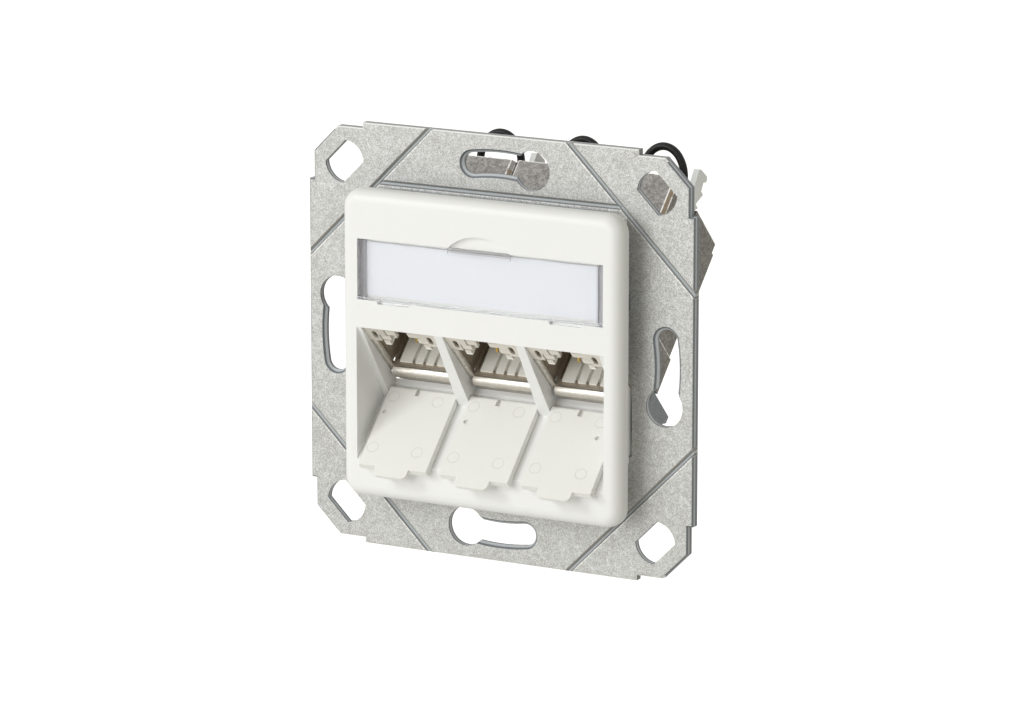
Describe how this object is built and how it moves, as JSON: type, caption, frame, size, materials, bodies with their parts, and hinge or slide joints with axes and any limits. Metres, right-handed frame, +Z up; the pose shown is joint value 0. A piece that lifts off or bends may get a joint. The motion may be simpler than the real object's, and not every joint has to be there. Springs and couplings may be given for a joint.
{
  "type": "flush-mounted data outlet",
  "caption": "White centre plate with jack openings facing down at 45 degrees, open dust flaps and a label window, on a square steel support ring with shielded jacks behind.",
  "frame": {"origin": "centre of the support ring, on the plane of its rear rim, where it meets the wall", "axes": "+X to the right seen from the room, +Y into the wall, +Z up"},
  "size_m": [0.069, 0.0427, 0.069],
  "materials": {
    "ring_zinc": "zinc-plated, satin",
    "carrier_steel": "smooth rolled",
    "plate_white": "satin moulded",
    "flap_white": "satin moulded",
    "window_clear": "clear polished",
    "label_paper": "plain",
    "housing_nickel": "nickel-plated die casting",
    "insert_ivory": "moulded",
    "contact_gold": "gold-plated",
    "board_green": "solder mask",
    "terminal_grey": "moulded",
    "strap_black": "moulded",
    "latch_grey": "moulded",
    "spring_steel": "bright"
  },
  "bodies": {
    "outlet": {"support_ring": "ring_zinc", "module_carrier": "carrier_steel", "carrier_rivets": "ring_zinc", "cover_plate": "plate_white", "label_strip": "label_paper", "jack_housing_left": "housing_nickel", "rear_cap_left": "housing_nickel", "contact_insert_left": "insert_ivory", "jack_contacts_left": "contact_gold", "circuit_board_left": "board_green", "terminal_block_left": "terminal_grey", "wire_terminals_left": "contact_gold", "wire_guide_left": "terminal_grey", "strap_loop_left": "strap_black", "latch_strip_left": "latch_grey", "ground_spring_left": "spring_steel", "jack_housing_middle": "housing_nickel", "rear_cap_middle": "housing_nickel", "contact_insert_middle": "insert_ivory", "jack_contacts_middle": "contact_gold", "circuit_board_middle": "board_green", "terminal_block_middle": "terminal_grey", "wire_terminals_middle": "contact_gold", "wire_guide_middle": "terminal_grey", "strap_loop_middle": "strap_black", "latch_strip_middle": "latch_grey", "ground_spring_middle": "spring_steel", "jack_housing_right": "housing_nickel", "rear_cap_right": "housing_nickel", "contact_insert_right": "insert_ivory", "jack_contacts_right": "contact_gold", "circuit_board_right": "board_green", "terminal_block_right": "terminal_grey", "wire_terminals_right": "contact_gold", "wire_guide_right": "terminal_grey", "strap_loop_right": "strap_black", "latch_strip_right": "latch_grey", "ground_spring_right": "spring_steel"},
    "dust_flap_left": {"dust_flap_left": "flap_white"},
    "dust_flap_middle": {"dust_flap_middle": "flap_white"},
    "dust_flap_right": {"dust_flap_right": "flap_white"},
    "label_window": {"label_window": "window_clear"}
  },
  "joints": [
    {"name": "dust_flap_left_hinge", "type": "hinge", "parent": "outlet", "child": "dust_flap_left", "pos_m": [-0.0147, 0.0007, -0.00923], "axis": [-1, 0, 0], "range_deg": [0, 95]},
    {"name": "dust_flap_middle_hinge", "type": "hinge", "parent": "outlet", "child": "dust_flap_middle", "pos_m": [0, 0.0007, -0.00923], "axis": [-1, 0, 0], "range_deg": [0, 95]},
    {"name": "dust_flap_right_hinge", "type": "hinge", "parent": "outlet", "child": "dust_flap_right", "pos_m": [0.0147, 0.0007, -0.00923], "axis": [-1, 0, 0], "range_deg": [0, 95]},
    {"name": "label_window_hinge", "type": "hinge", "parent": "outlet", "child": "label_window", "pos_m": [0, -0.0075, 0.007], "axis": [1, 0, 0], "range_deg": [0, 65]}
  ]
}
